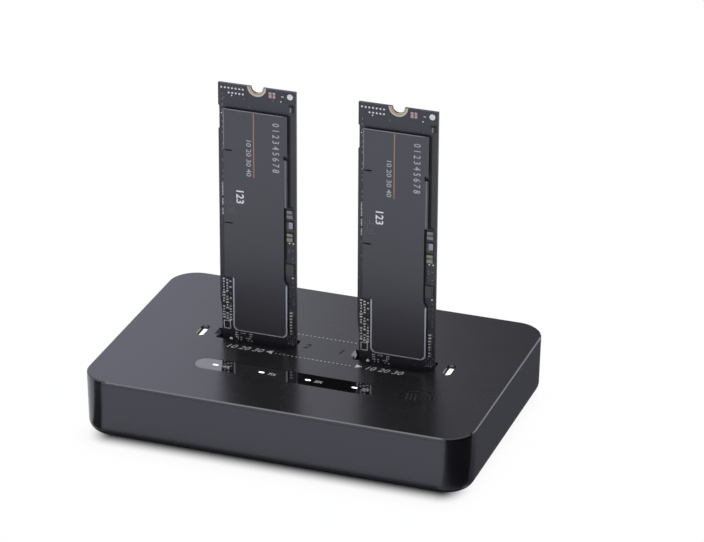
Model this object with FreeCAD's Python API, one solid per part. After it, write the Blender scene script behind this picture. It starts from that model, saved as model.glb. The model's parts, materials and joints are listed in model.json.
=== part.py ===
import FreeCAD, Part
import math
import os

# Two-bay dock that copies one plug-in memory card to another. Millimetres, +Z up, +X along the
# long side, +Y towards the back. The origin is on the table, under the middle of the housing.

V = FreeCAD.Vector

# ---------------------------------------------------------------- driving sizes
# Housing
body_length = 109.2
body_depth = 73.0
body_height = 17.8
corner_radius = 8.2
base_round = 3.0
wall = 2.0
wall_draft = 0.25
foot_stand = 0.8
cover_rim = 1.0
cover_plate = 2.0
cover_chamfer = 0.3
parting_gap = 0.05
lip_height = 1.6
lip_wall = 1.1
lip_clearance = 0.1

# Feet and fasteners
foot_radius = 4.5
foot_inset_x = 11.0
foot_inset_y = 11.0
screw_shank_radius = 1.1
screw_head_radius = 2.0
screw_head_height = 1.5
screw_head_cover = 0.7
screw_bite = 6.0
screw_end_room = 1.0
screw_clearance = 0.1
post_side = 9.0
boss_side = 5.4
boss_clearance = 0.5
rib_thickness = 1.5
hook_count = 3
hook_pitch = 34.0
hook_width = 6.0
hook_reach = 0.7
hook_height = 1.0
hook_clearance = 0.1

# Main board
board_thickness = 1.6
board_margin = 1.5
board_corner = 3.0
chip_gap = 2.4
controller_side = 10.0
controller_height = 0.9
firmware_width = 5.2
firmware_depth = 5.3
firmware_height = 1.7
crystal_length = 3.2
crystal_width = 2.5
crystal_height = 0.8
manager_side = 4.0
manager_height = 0.9
coil_side = 6.0
coil_height = 3.0
coil_shift = 4.0
capacitor_length = 7.3
capacitor_width = 4.3
capacitor_height = 2.8
capacitor_setback = 9.0

# Cards, to the usual 22 x 80 mm plug-in card
card_width = 22.0
card_length = 80.0
card_thickness = 0.8
tongue_width = 19.85
tongue_height = 4.0
card_notch_radius = 1.75
key_notch_width = 1.2
key_notch_height = 3.5
key_b_offset = -5.625
key_m_offset = 6.125

# What the cards carry, with "top" and "bottom" measured from the card's top edge
package_height = 0.6
package_gap = 3.0
package_top = 9.0
memory_margin = 4.1
memory_length = 16.0
cache_margin = 4.7
cache_length = 9.0
card_controller_side = 12.0
label_thickness = 0.2
label_top = 6.9
label_bottom = 72.05
label_left = 1.64
label_right = 2.2
waist_top = 33.3
waist_bottom = 56.1
waist_depth = 1.0
waist_slope = 1.3
tail_top = 56.0
tail_left = 4.0
tail_right = 2.4
tail_corner = 1.5
slit_height = 0.4
slit_length = 2.4
upper_slit_top = 18.6
lower_slit_top = 39.8
label_notch_width = 1.1
label_notch_height = 1.2
label_notch_top = 18.3
small_height = 0.45
small_gap = 0.7
right_part_inset = 1.65
right_part_width = 1.8
right_part_length = 2.4
right_part_pitch = 3.4
right_part_count = 3
regulator_top = 49.9
regulator_width = 2.2
regulator_length = 3.3
low_part_inset = 1.25
low_part_width = 1.1
low_part_length = 1.5
low_part_pitch = 2.0
low_part_top = 65.4
tiny_width = 0.55
tiny_length = 1.0
tiny_inset = 0.95
tiny_column_pitch = 0.97
tiny_column_count = 3
tiny_column_step = 0.3
tiny_pitch = 1.65
tiny_count = 7
corner_chip_top = 69.4
corner_chip_width = 1.7
corner_chip_length = 2.4
upper_recess = (6.3, 13.2)
upper_recess_depth = 0.3
lower_recess_top = 63.0
lower_recess_depth = 0.5
recess_slope = 0.3
lower_recess_slope = 4.0

# Card bays
bay_middle_x = 2.4
bay_pitch = 39.5
bay_y = 1.9
socket_gap = 0.3
insertion_depth = 3.6
socket_length = 24.0
socket_depth = 6.6
slot_clearance = 0.1
key_clearance = 0.15
contact_thickness = 0.2
contact_width = 0.22
contact_pitch = 0.5
contact_count = 38
contact_key_gap = 0.95
contact_reach = 0.7
groove_reach = 0.8
mouth_width = 5.9
mouth_corner = 0.7
mouth_left_room = 0.6
mouth_right_room = 0.15
ramp_width = 3.9
ramp_run = 1.1
ramp_drop = 0.85
slot_ease = 0.4

# Lights
window_length = 51.6
window_width = 6.3
window_thickness = 0.8
window_middle_x = -2.8
window_inset_y = 19.85
window_sink = 0.05
window_fit = 0.08
progress_pitch = 13.2
progress_middle_x = -2.95
progress_count = 4
pill_length = 2.1
pill_width = 1.0
guide_fit = 0.05
guide_flange = 0.7
guide_flange_height = 0.8
led_length = 1.6
led_width = 0.8
led_height = 0.7
led_gap = 0.4
activity_middle_x = 1.7
activity_pitch = 71.0
activity_length = 6.4
activity_width = 2.2
activity_sink = 1.0

# Clone button
clone_inset_x = 20.6
clone_inset_y = 19.9
clone_radius = 4.35
clone_fit = 0.08
clone_travel = 0.6
clone_flange = 0.9
clone_flange_height = 1.0
stem_side = 3.0
switch_side = 6.2
switch_height = 3.5
plunger_radius = 1.7
plunger_stand = 0.9
plunger_root = 1.0
plunger_end_gap = 0.2
plunger_fit = 0.08

# Rear power button
power_x = -20.0
power_radius = 2.8
power_fit = 0.08
power_travel = 1.5
power_sink = 0.2
power_flange = 0.7
power_flange_height = 1.0
power_switch_side = 7.6
power_switch_depth = 8.5
power_plunger_side = 2.8
power_plunger_root = 2.0
power_plunger_stand = 1.8
power_stem = 3.4

# Rear sockets
port_sink = 0.4
port_edge_clearance = 0.25
usb_x = 0.0
usb_width = 8.94
usb_height = 3.26
usb_length = 7.35
usb_wall = 0.3
usb_base = 1.5
tongue_tip_sink = 1.0
usb_tongue_width = 6.69
usb_tongue_thickness = 0.7
jack_x = 22.0
jack_width = 9.0
jack_height = 7.6
jack_length = 14.0
jack_bore_radius = 3.0
jack_bore_depth = 9.5
jack_wall = 0.7
jack_pin_radius = 1.0
jack_pin_sink = 0.8
opening_clearance = 0.1

# Working allowances: how far a cut runs past a face, and joined pieces into each other
overshoot = 1.0
weld = 0.1

# ---------------------------------------------------------------- places worked out from them
half_length = body_length / 2
half_depth = body_depth / 2
floor_top = foot_stand + wall
rim_low = body_height - cover_rim
tub_top = rim_low - parting_gap
cover_under = body_height - cover_plate
lip_low = cover_under - lip_height
board_top = lip_low - opening_clearance - max(jack_height, power_switch_side)
board_low = board_top - board_thickness
inner_rear = half_depth - wall
foot_x = half_length - foot_inset_x
foot_y = half_depth - foot_inset_y
screw_hole_radius = screw_shank_radius + screw_clearance
head_hole_radius = screw_head_radius + screw_clearance
head_seat = foot_stand + screw_head_cover + screw_head_height
socket_top = cover_under - socket_gap
card_seat = socket_top - insertion_depth
card_top = card_seat + card_length
card_front = bay_y - card_thickness / 2
card_back = bay_y + card_thickness / 2
package_front = card_front - package_height
left_bay_x = bay_middle_x - bay_pitch / 2
right_bay_x = bay_middle_x + bay_pitch / 2
clone_x = half_length - clone_inset_x
clone_y = clone_inset_y - half_depth
window_y = window_inset_y - half_depth
window_top = body_height - window_sink
window_floor = window_top - window_thickness
run_x = half_length - corner_radius
run_y = half_depth - corner_radius
led_top = board_top + led_height
port_rear = half_depth - port_sink
jack_z = board_top + jack_height / 2
power_z = board_top + power_switch_side / 2

foot_places = [(sx * foot_x, sy * foot_y) for sx in (-1, 1) for sy in (-1, 1)]
housing_screw_places = [(sx * foot_x, -foot_y) for sx in (-1, 1)]
board_clamp_places = [(sx * foot_x, foot_y) for sx in (-1, 1)]
hook_places = [(i - (hook_count - 1) / 2) * hook_pitch for i in range(hook_count)]
progress_places = [
    (progress_middle_x + (i - (progress_count - 1) / 2) * progress_pitch, window_y)
    for i in range(progress_count)
]
bays = {"left": left_bay_x, "right": right_bay_x}
activity_x = {
    "left": activity_middle_x - activity_pitch / 2,
    "right": activity_middle_x + activity_pitch / 2,
}


# ---------------------------------------------------------------- building helpers
def block(x, y, z):
    """A box from three (low, high) pairs."""
    return Part.makeBox(x[1] - x[0], y[1] - y[0], z[1] - z[0], V(x[0], y[0], z[0]))


def chip(cx, cy, size_x, size_y, z_low, height):
    """A box centred on a point of the plan."""
    return block((cx - size_x / 2, cx + size_x / 2), (cy - size_y / 2, cy + size_y / 2),
                 (z_low, z_low + height))


def rod(radius, cx, cy, z_low, z_high):
    """An upright cylinder."""
    return Part.makeCylinder(radius, z_high - z_low, V(cx, cy, z_low))


def rod_y(radius, cx, cz, y_low, y_high):
    """A cylinder lying front to back."""
    return Part.makeCylinder(radius, y_high - y_low, V(cx, y_low, cz), V(0, 1, 0))


def outline(length, depth, radius, z, cx=0.0, cy=0.0):
    """A rectangle with rounded corners, as a wire at height z."""
    hx = length / 2
    hy = depth / 2
    k = radius * (1 - math.sqrt(0.5))
    edges = []
    for sx, sy in ((1, 1), (-1, 1), (-1, -1), (1, -1)):
        on_y = V(cx + sx * (hx - radius), cy + sy * hy, z)
        on_x = V(cx + sx * hx, cy + sy * (hy - radius), z)
        middle = V(cx + sx * (hx - k), cy + sy * (hy - k), z)
        first, last = (on_x, on_y) if sx == sy else (on_y, on_x)
        if edges and edges[-1][1].distanceToPoint(first) > 1e-6:
            edges.append((edges[-1][1], first, None))
        edges.append((first, last, middle))
    if edges[-1][1].distanceToPoint(edges[0][0]) > 1e-6:
        edges.append((edges[-1][1], edges[0][0], None))
    shapes = []
    for first, last, middle in edges:
        if middle is None:
            shapes.append(Part.LineSegment(first, last).toShape())
        else:
            shapes.append(Part.Arc(first, middle, last).toShape())
    return Part.Wire(shapes)


def slab(length, depth, radius, z_low, z_high, cx=0.0, cy=0.0):
    """An upright prism on a rounded rectangle."""
    face = Part.Face(outline(length, depth, radius, z_low, cx, cy))
    return face.extrude(V(0, 0, z_high - z_low))


def pill(length, width, z_low, z_high, cx, cy):
    """A slab whose shorter sides are half circles."""
    return slab(length, width, min(length, width) / 2, z_low, z_high, cx, cy)


def pill_y(width, height, y_low, y_high, cx, cz):
    """A prism lying front to back, wider than it is high, with round ends."""
    shape = pill(width, height, 0, y_high - y_low, 0, 0)
    shape.rotate(V(0, 0, 0), V(1, 0, 0), -90)
    shape.translate(V(cx, y_low, cz))
    return shape


def tub_form(profile):
    """A solid on the housing's plan, from the side profile of its wall.

    The profile's points are (out, z) from low to high, with out measured from the centres of
    the four plan corners. Its arcs give a middle point for each stretch that is an arc.
    """
    low_z = profile["points"][0][1]
    high_z = profile["points"][-1][1]

    def side(origin, out):
        """Face of the profile standing at origin, with its out direction."""
        place = [origin + out * r + V(0, 0, z) for r, z in profile["points"]]
        edges = []
        for i in range(len(place) - 1):
            middle = profile["arcs"].get(i)
            if middle is None:
                edges.append(Part.LineSegment(place[i], place[i + 1]).toShape())
            else:
                bend = origin + out * middle[0] + V(0, 0, middle[1])
                edges.append(Part.Arc(place[i], bend, place[i + 1]).toShape())
        low = origin + V(0, 0, low_z)
        high = origin + V(0, 0, high_z)
        edges.append(Part.LineSegment(place[-1], high).toShape())
        edges.append(Part.LineSegment(high, low).toShape())
        edges.append(Part.LineSegment(low, place[0]).toShape())
        return Part.Face(Part.Wire(edges))

    solids = [block((-run_x, run_x), (-run_y, run_y), (low_z, high_z))]
    for sx, sy in ((1, 1), (-1, 1), (-1, -1), (1, -1)):
        corner = V(sx * run_x, sy * run_y, 0)
        out = V(sx, 0, 0)
        solids.append(side(corner, out).revolve(corner, V(0, 0, 1), 90 * sx * sy))
    for sx in (-1, 1):
        face = side(V(sx * run_x, -run_y, 0), V(sx, 0, 0))
        solids.append(face.extrude(V(0, 2 * run_y, 0)))
    for sy in (-1, 1):
        face = side(V(-run_x, sy * run_y, 0), V(0, sy, 0))
        solids.append(face.extrude(V(2 * run_x, 0, 0)))
    return join(solids)


def join(shapes):
    """All shapes as one body."""
    result = shapes[0].fuse(shapes[1:])
    return result.removeSplitter()


def edges_at(shape, z):
    """The level edges of a shape that lie at height z."""
    return [edge for edge in shape.Edges
            if abs(edge.BoundBox.ZMin - z) < 1e-4 and abs(edge.BoundBox.ZMax - z) < 1e-4]


def write(node, solids):
    """One STEP file per node, with each piece as its own solid."""
    shape = solids[0] if len(solids) == 1 else Part.makeCompound(solids)
    shape.exportStep(os.path.join("parts", node + ".step"))


# ---------------------------------------------------------------- housing
def lower_housing():
    """Tub with drafted walls, a large round along its foot, screw posts and rear openings."""
    outer = tub_form({
        "points": [
            (corner_radius - wall_draft - base_round, foot_stand),
            (corner_radius - wall_draft, foot_stand + base_round),
            (corner_radius, tub_top),
        ],
        "arcs": {0: (corner_radius - wall_draft - base_round * (1 - math.sqrt(0.5)),
                     foot_stand + base_round * (1 - math.sqrt(0.5)))},
    })
    inner = tub_form({
        "points": [
            (corner_radius - base_round, floor_top),
            (corner_radius - wall, floor_top + base_round - wall),
            (corner_radius - wall, tub_top + overshoot),
        ],
        "arcs": {},
    })
    adds = [outer.cut(inner)]
    holes = []
    post_low = floor_top - wall / 2
    for x, y in foot_places:
        adds.append(chip(x, y, post_side, post_side, post_low, board_low - post_low))
    for x, y in housing_screw_places:
        holes.append(rod(head_hole_radius, x, y, foot_stand - overshoot, head_seat))
        holes.append(rod(screw_hole_radius, x, y, head_seat - overshoot, board_low + overshoot))
    for x in hook_places:
        holes.append(hook_block(x, hook_clearance))
    span = (inner_rear - overshoot, half_depth + overshoot)
    holes.append(pill_y(usb_width + 2 * port_edge_clearance, usb_height + 2 * port_edge_clearance,
                        span[0], span[1], usb_x, board_top + usb_height / 2))
    holes.append(rod_y(jack_bore_radius + jack_wall + port_edge_clearance, jack_x, jack_z,
                       span[0], span[1]))
    holes.append(rod_y(power_radius + power_fit, power_x, power_z, span[0], span[1]))
    return join(adds).cut(holes)


def lip_rails():
    """Straight rails under the lid that locate it inside the tub's four walls."""
    out_x = half_length - wall - lip_clearance
    out_y = half_depth - wall - lip_clearance
    z = (lip_low, cover_under + weld)
    rails = []
    for side in (-1, 1):
        rails.append(block(sorted((side * (out_x - lip_wall), side * out_x)), (-run_y, run_y), z))
        rails.append(block((-run_x, run_x), sorted((side * (out_y - lip_wall), side * out_y)), z))
    return rails


def hook_block(x, grow):
    """Catch on the lid's rear lip, or with grow the pocket for it in the rear wall."""
    front = inner_rear - lip_clearance - lip_wall / 2
    rear = inner_rear - lip_clearance + hook_reach
    return block((x - hook_width / 2 - grow, x + hook_width / 2 + grow), (front, rear + grow),
                 (lip_low - grow, lip_low + hook_height + grow))


def clamp_ribs(x, y):
    """Crossed ribs from the lid down to the board, which hold it on a post."""
    height = cover_under + weld - board_top
    return [chip(x, y, post_side, rib_thickness, board_top, height),
            chip(x, y, rib_thickness, post_side, board_top, height)]


def top_cover():
    """Flat lid with a chamfered rim, a locating lip, screw bosses and all the top openings."""
    rim = slab(body_length, body_depth, corner_radius, rim_low, body_height)
    rim = rim.makeChamfer(cover_chamfer, edges_at(rim, body_height))
    inset = wall + lip_clearance
    plate = slab(body_length - 2 * inset, body_depth - 2 * inset, corner_radius - inset,
                 cover_under, rim_low + weld)
    bosses = [chip(x, y, boss_side, boss_side, board_low, cover_under + weld - board_low)
              for x, y in housing_screw_places]
    ribs = []
    for x, y in housing_screw_places + board_clamp_places:
        ribs += clamp_ribs(x, y)
    hooks = [hook_block(x, 0) for x in hook_places]
    cover = join([rim, plate] + lip_rails() + bosses + ribs + hooks)
    holes = []
    for x, y in housing_screw_places:
        holes.append(rod(screw_hole_radius, x, y, board_low - overshoot,
                         board_low + screw_bite + screw_end_room))
    for x in bays.values():
        holes.append(bay_mouth(x))
    holes.append(pill(window_length, window_width, window_floor, body_height + overshoot,
                      window_middle_x, window_y))
    low = cover_under - overshoot
    for x, y in progress_places:
        holes.append(chip(x, y, pill_length + 2 * guide_fit, pill_width + 2 * guide_fit,
                          low, window_floor + overshoot - low))
    for x in activity_x.values():
        holes.append(pill(activity_width, activity_length, low, body_height + overshoot,
                          x, bay_y))
    holes.append(rod(clone_radius + clone_fit, clone_x, clone_y, low, body_height + overshoot))
    return cover.cut(holes)


def bay_mouth(x):
    """Card opening; a sloped facet beside the card's left edge leads a card in."""
    left = x - card_width / 2 - mouth_left_room
    right = x + card_width / 2 + mouth_right_room
    back = bay_y + mouth_width / 2
    inside = left + mouth_corner
    through = slab(right - left, mouth_width, mouth_corner, cover_under - overshoot,
                   body_height + overshoot, (left + right) / 2, bay_y)
    points = [
        V(left - ramp_run, back, body_height),
        V(left, back, body_height - ramp_drop),
        V(inside, back, body_height - ramp_drop),
        V(inside, back, body_height + overshoot),
        V(left - ramp_run, back, body_height + overshoot),
    ]
    ramp = Part.Face(Part.makePolygon(points + points[:1])).extrude(V(0, -ramp_width, 0))
    return through.fuse(ramp)


def rubber_feet():
    """Four round feet; the front pair hides the housing screws."""
    return [rod(foot_radius, x, y, 0, foot_stand) for x, y in foot_places]


def housing_screws():
    """Screws that come up through the floor into the lid's bosses."""
    screws = []
    for x, y in housing_screw_places:
        head = rod(screw_head_radius, x, y, head_seat - screw_head_height, head_seat)
        shank = rod(screw_shank_radius, x, y, head_seat, board_low + screw_bite)
        screws.append(join([head, shank]))
    return screws


# ---------------------------------------------------------------- main board
def main_board():
    """Printed board with its front corners notched round the lid's screw bosses."""
    inset = wall + board_margin
    half_x = half_length - inset
    half_y = half_depth - inset
    board = slab(2 * half_x, 2 * half_y, board_corner, board_low, board_top)
    notch = boss_side / 2 + boss_clearance
    cuts = []
    for x, y in housing_screw_places:
        edge = math.copysign(half_x + overshoot, x)
        span_x = sorted((x - math.copysign(notch, x), edge))
        cuts.append(block(span_x, (-half_y - overshoot, y + notch),
                          (board_low - overshoot, board_top + overshoot)))
    return board.cut(cuts)


def card_socket(x):
    """Upright card socket: a slot with one key rib, grooves for the contacts."""
    body = chip(x, bay_y, socket_length, socket_depth, board_top, socket_top - board_top)
    slot_length = tongue_width + 2 * slot_clearance
    slot_depth = card_thickness + 2 * slot_clearance
    slot = chip(x, bay_y, slot_length, slot_depth, card_seat, insertion_depth + overshoot)
    groove_top = card_seat + insertion_depth * groove_reach
    spread = slot_depth + 2 * contact_thickness
    low = board_top - overshoot
    groove = chip(x, bay_y, slot_length, spread, low, groove_top - low)
    spine = chip(x, bay_y, slot_length + 2 * overshoot, slot_depth, low - overshoot,
                 card_seat - low + overshoot)
    rib_width = key_notch_width - 2 * key_clearance
    rib_top = card_seat + key_notch_height - key_notch_width / 2 - key_clearance
    rib = chip(x + key_b_offset, bay_y, rib_width, spread, board_top, rib_top - board_top)
    body = body.cut([slot, groove.cut(spine), slot_lead_in(x, slot_length, slot_depth)])
    return join([body, rib])


def slot_lead_in(x, slot_length, slot_depth):
    """Sloped edge along both sides of a socket's slot."""
    points = [
        V(x - slot_length / 2, bay_y - slot_depth / 2, socket_top - slot_ease),
        V(x - slot_length / 2, bay_y + slot_depth / 2, socket_top - slot_ease),
        V(x - slot_length / 2, bay_y + slot_depth / 2 + slot_ease, socket_top),
        V(x - slot_length / 2, bay_y - slot_depth / 2 - slot_ease, socket_top),
    ]
    return Part.Face(Part.makePolygon(points + points[:1])).extrude(V(slot_length, 0, 0))


def contact_places():
    """Offsets of the contacts along a socket's slot: (offset, side), side -1 at the front."""
    places = []
    start = -(contact_count - 1) / 2 * contact_pitch
    for side in (-1, 1):
        shift = 0 if side < 0 else contact_pitch / 2
        count = contact_count if side < 0 else contact_count - 1
        for i in range(count):
            offset = start + shift + i * contact_pitch
            if abs(offset - key_b_offset) > contact_key_gap:
                places.append((offset, side))
    return places


def socket_contacts(x):
    """Upright contact strips in the grooves on both sides of a socket's slot."""
    inner = card_thickness / 2 + slot_clearance
    reach = card_seat + insertion_depth * contact_reach
    strips = []
    for offset, side in contact_places():
        span = sorted((bay_y + side * inner, bay_y + side * (inner + contact_thickness)))
        middle = x + offset
        strips.append(block((middle - contact_width / 2, middle + contact_width / 2), span,
                            (board_top, reach)))
    return strips


# ---------------------------------------------------------------- lights
def progress_window():
    """Smoked strip let into the lid over the light guides."""
    return pill(window_length - 2 * window_fit, window_width - 2 * window_fit,
                window_floor, window_top, window_middle_x, window_y)


def progress_light_guide():
    """One clear moulding: a bar under the lid with a post up and down at each light."""
    bar_length = (progress_count - 1) * progress_pitch + pill_length + 2 * guide_flange
    bar = chip(progress_middle_x, window_y, bar_length, pill_width + 2 * guide_flange,
               cover_under - guide_flange_height, guide_flange_height)
    low = led_top + led_gap
    high = window_floor - guide_fit
    posts = [chip(x, y, pill_length, pill_width, low, high - low) for x, y in progress_places]
    return join([bar] + posts)


def activity_light_guide(side):
    """Guide of one bay's activity light, set below the lid's face."""
    x = activity_x[side]
    top = body_height - activity_sink
    tip = pill(activity_width - 2 * guide_fit, activity_length - 2 * guide_fit,
               cover_under, top, x, bay_y)
    flange = chip(x, bay_y, activity_width + 2 * guide_flange, activity_length + 2 * guide_flange,
                  cover_under - guide_flange_height, guide_flange_height)
    low = led_top + led_gap
    post = chip(x, bay_y, activity_width, activity_width, low, cover_under - weld - low)
    return join([tip, flange, post])


def lamp(x, y, size_x, size_y):
    """A small lamp chip on the board."""
    return chip(x, y, size_x, size_y, board_top, led_height)


# ---------------------------------------------------------------- buttons
def clone_button():
    """Flush round button with a retaining flange and a stem down to its switch."""
    top = cover_under - clone_fit
    cap = rod(clone_radius, clone_x, clone_y, top, body_height)
    flange_side = 2 * (clone_radius + clone_flange)
    flange = chip(clone_x, clone_y, flange_side, flange_side, top - clone_flange_height,
                  clone_flange_height)
    low = board_top + switch_height + plunger_stand
    stem = chip(clone_x, clone_y, stem_side, stem_side, low, top - low - clone_flange_height / 2)
    return join([cap, flange, stem])


def clone_switch():
    """Square switch body with a round hole for its plunger."""
    body = chip(clone_x, clone_y, switch_side, switch_side, board_top, switch_height)
    top = board_top + switch_height
    return body.cut(rod(plunger_radius + plunger_fit, clone_x, clone_y,
                        top - plunger_root - clone_travel - plunger_end_gap, top + overshoot))


def clone_switch_plunger():
    """Plunger that the clone button pushes down."""
    top = board_top + switch_height
    return rod(plunger_radius, clone_x, clone_y, top - plunger_root, top + plunger_stand)


def power_front():
    """Place of the power button's inner face against the rear wall."""
    return inner_rear - power_fit


def power_button():
    """Round push button in the rear wall, just below the wall's face."""
    cap = rod_y(power_radius, power_x, power_z, power_front() - weld, half_depth - power_sink)
    half = power_radius + power_flange
    flange = block((power_x - half, power_x + half),
                   (power_front() - power_flange_height, power_front()),
                   (power_z - half, power_z + half))
    stem = block((power_x - stem_side / 2, power_x + stem_side / 2),
                 (power_plunger_rear(), power_front() - power_flange_height / 2),
                 (power_z - stem_side / 2, power_z + stem_side / 2))
    return join([cap, flange, stem])


def power_plunger_rear():
    """Where the power button's stem meets the switch's plunger."""
    return power_front() - power_flange_height - power_stem


def power_switch():
    """Latching switch body with a square hole for its plunger."""
    rear = power_plunger_rear() - power_plunger_stand
    body = block((power_x - power_switch_side / 2, power_x + power_switch_side / 2),
                 (rear - power_switch_depth, rear), (board_top, board_top + power_switch_side))
    half = power_plunger_side / 2 + power_fit
    depth = power_plunger_root + power_travel + plunger_end_gap
    hole = block((power_x - half, power_x + half), (rear - depth, rear + overshoot),
                 (power_z - half, power_z + half))
    return body.cut(hole)


def power_switch_plunger():
    """Square plunger that slides in the power switch."""
    rear = power_plunger_rear()
    half = power_plunger_side / 2
    return block((power_x - half, power_x + half),
                 (rear - power_plunger_stand - power_plunger_root, rear),
                 (power_z - half, power_z + half))


# ---------------------------------------------------------------- rear sockets
def usb_port_shell():
    """Folded metal shell of the data port, open at the back."""
    z = board_top + usb_height / 2
    shell = pill_y(usb_width, usb_height, port_rear - usb_length, port_rear, usb_x, z)
    return shell.cut(pill_y(usb_width - 2 * usb_wall, usb_height - 2 * usb_wall,
                            port_rear - usb_length - overshoot, port_rear + overshoot,
                            usb_x, z))


def usb_port_tongue():
    """Plastic block that closes the shell, with the thin contact tongue."""
    z = board_top + usb_height / 2
    front = port_rear - usb_length
    base = pill_y(usb_width - 2 * usb_wall, usb_height - 2 * usb_wall, front, front + usb_base,
                  usb_x, z)
    tongue = block((usb_x - usb_tongue_width / 2, usb_x + usb_tongue_width / 2),
                   (front + usb_base - weld, port_rear - tongue_tip_sink),
                   (z - usb_tongue_thickness / 2, z + usb_tongue_thickness / 2))
    return join([base, tongue])


def power_jack_body():
    """Moulded power socket, with a round collar in the rear wall."""
    body = block((jack_x - jack_width / 2, jack_x + jack_width / 2),
                 (port_rear - jack_length, inner_rear - lip_clearance),
                 (board_top, board_top + jack_height))
    collar = rod_y(jack_bore_radius + jack_wall, jack_x, jack_z, inner_rear - wall, port_rear)
    bore = rod_y(jack_bore_radius, jack_x, jack_z, port_rear - jack_bore_depth,
                 port_rear + overshoot)
    return join([body, collar]).cut(bore)


def power_jack_pin():
    """Centre pin of the power socket."""
    tip = port_rear - jack_pin_sink
    return rod_y(jack_pin_radius, jack_x, jack_z, port_rear - jack_bore_depth, tip)


# ---------------------------------------------------------------- board components
def board_chips():
    """Flat packages and coils behind the sockets, mirrored where each bay has its own."""
    middle_y = bay_y + socket_depth / 2 + 2 * chip_gap + controller_side / 2
    firmware_x = bay_middle_x + controller_side / 2 + chip_gap + firmware_width / 2
    crystal_x = bay_middle_x - controller_side / 2 - chip_gap - crystal_length / 2
    coil_x = foot_x - coil_shift
    coil_y = foot_y - post_side / 2 - chip_gap - coil_side / 2
    manager_x = coil_x - coil_side / 2 - chip_gap - manager_side / 2
    return {
        "copy_controller_chip": [chip(bay_middle_x, middle_y, controller_side, controller_side,
                                      board_top, controller_height)],
        "firmware_chip": [chip(firmware_x, middle_y, firmware_width, firmware_depth,
                               board_top, firmware_height)],
        "clock_crystal": [chip(crystal_x, middle_y, crystal_length, crystal_width,
                               board_top, crystal_height)],
        "power_manager_chips": [chip(sx * manager_x, coil_y, manager_side, manager_side,
                                     board_top, manager_height) for sx in (-1, 1)],
        "power_coils": [chip(sx * coil_x, coil_y, coil_side, coil_side,
                             board_top, coil_height) for sx in (-1, 1)],
    }


def bulk_capacitors():
    """Moulded capacitor blocks, one near each bay."""
    return [chip(sx * (foot_x - coil_shift), bay_y - capacitor_setback, capacitor_length,
                 capacitor_width, board_top, capacitor_height) for sx in (-1, 1)]


# ---------------------------------------------------------------- cards
def on_card(x, middle, width, top, length, height):
    """A box on a card's front: middle from the card's left edge, top from its top edge."""
    centre = x - card_width / 2 + middle
    return block((centre - width / 2, centre + width / 2), (card_front - height, card_front),
                 (card_top - top - length, card_top - top))


def edge_recess(x, top, bottom, depth, slope):
    """What a routed recess takes off the card's left edge, sloped at its upper end."""
    left = x - card_width / 2
    points = [V(left - overshoot, card_front - overshoot, card_top - top),
              V(left, card_front - overshoot, card_top - top),
              V(left + depth, card_front - overshoot, card_top - top - slope),
              V(left + depth, card_front - overshoot, card_top - bottom),
              V(left - overshoot, card_front - overshoot, card_top - bottom)]
    face = Part.Face(Part.makePolygon(points + points[:1]))
    return face.extrude(V(0, card_thickness + 2 * overshoot, 0))


def drive_board(x):
    """Card board with its tongue, two key notches, the half-round holding notch and two
    shallow recesses in its left edge."""
    through = (card_front - overshoot, card_back + overshoot)
    board = block((x - card_width / 2, x + card_width / 2), (card_front, card_back),
                  (card_seat, card_top))
    shoulder = card_length - tongue_height
    cuts = [rod_y(card_notch_radius, x, card_top, through[0], through[1]),
            edge_recess(x, upper_recess[0], upper_recess[1], upper_recess_depth, recess_slope),
            edge_recess(x, lower_recess_top, shoulder, lower_recess_depth, lower_recess_slope)]
    for side in (-1, 1):
        span = sorted((x + side * tongue_width / 2, x + side * (card_width / 2 + overshoot)))
        cuts.append(block(span, through, (card_seat - overshoot, card_seat + tongue_height)))
    half = key_notch_width / 2
    for offset in (key_b_offset, key_m_offset):
        middle = x + offset
        arch = card_seat + key_notch_height - half
        cuts.append(block((middle - half, middle + half), through, (card_seat - overshoot, arch)))
        cuts.append(rod_y(half, middle, arch, through[0], through[1]))
    return board.cut(cuts)


def package_tops():
    """Where the packages under a label start, from the top: cache, controller, two memories."""
    tops = [package_top]
    for length in (cache_length, card_controller_side, memory_length):
        tops.append(tops[-1] + length + package_gap)
    return tops


def drive_memory_chips(x):
    """Two large memory packages and one small one under the label."""
    cache, _, upper, lower = package_tops()
    middle = card_width / 2
    memory_width = card_width - 2 * memory_margin
    cache_width = card_width - 2 * cache_margin
    return [
        on_card(x, middle, memory_width, lower, memory_length, package_height),
        on_card(x, middle, memory_width, upper, memory_length, package_height),
        on_card(x, middle, cache_width, cache, cache_length, package_height),
    ]


def drive_controller_chip(x):
    """Square controller package under the label."""
    return on_card(x, card_width / 2, card_controller_side, package_tops()[1],
                   card_controller_side, package_height)


def drive_label(x):
    """Stiff label sheet over the packages: slit and notched at its edges, waisted on the
    right, and narrower at its round-cornered lower end."""
    right = card_width - label_right
    waist = right - waist_depth
    tail = card_width - tail_right
    points = [
        (label_left, label_top), (right, label_top), (right, waist_top),
        (waist, waist_top), (waist, waist_bottom - waist_slope),
        (tail, waist_bottom), (tail, label_bottom), (tail_left, label_bottom),
        (tail_left, tail_top), (label_left, tail_top),
    ]
    left = x - card_width / 2
    corners = [V(left + u, package_front, card_top - d) for u, d in points]
    face = Part.Face(Part.makePolygon(corners + corners[:1]))
    sheet = face.extrude(V(0, -label_thickness, 0))
    sheet = sheet.makeFillet(tail_corner, [
        edge for edge in sheet.Edges
        if edge.BoundBox.YLength > label_thickness / 2
        and abs(edge.BoundBox.ZMax - (card_top - label_bottom)) < weld])
    deep = package_height + label_thickness + overshoot
    slits = [on_card(x, label_left, 2 * slit_length, top, slit_height, deep)
             for top in (upper_slit_top, lower_slit_top)]
    slits.append(on_card(x, right, 2 * label_notch_width, label_notch_top, label_notch_height,
                         deep))
    return sheet.cut(slits)


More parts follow.
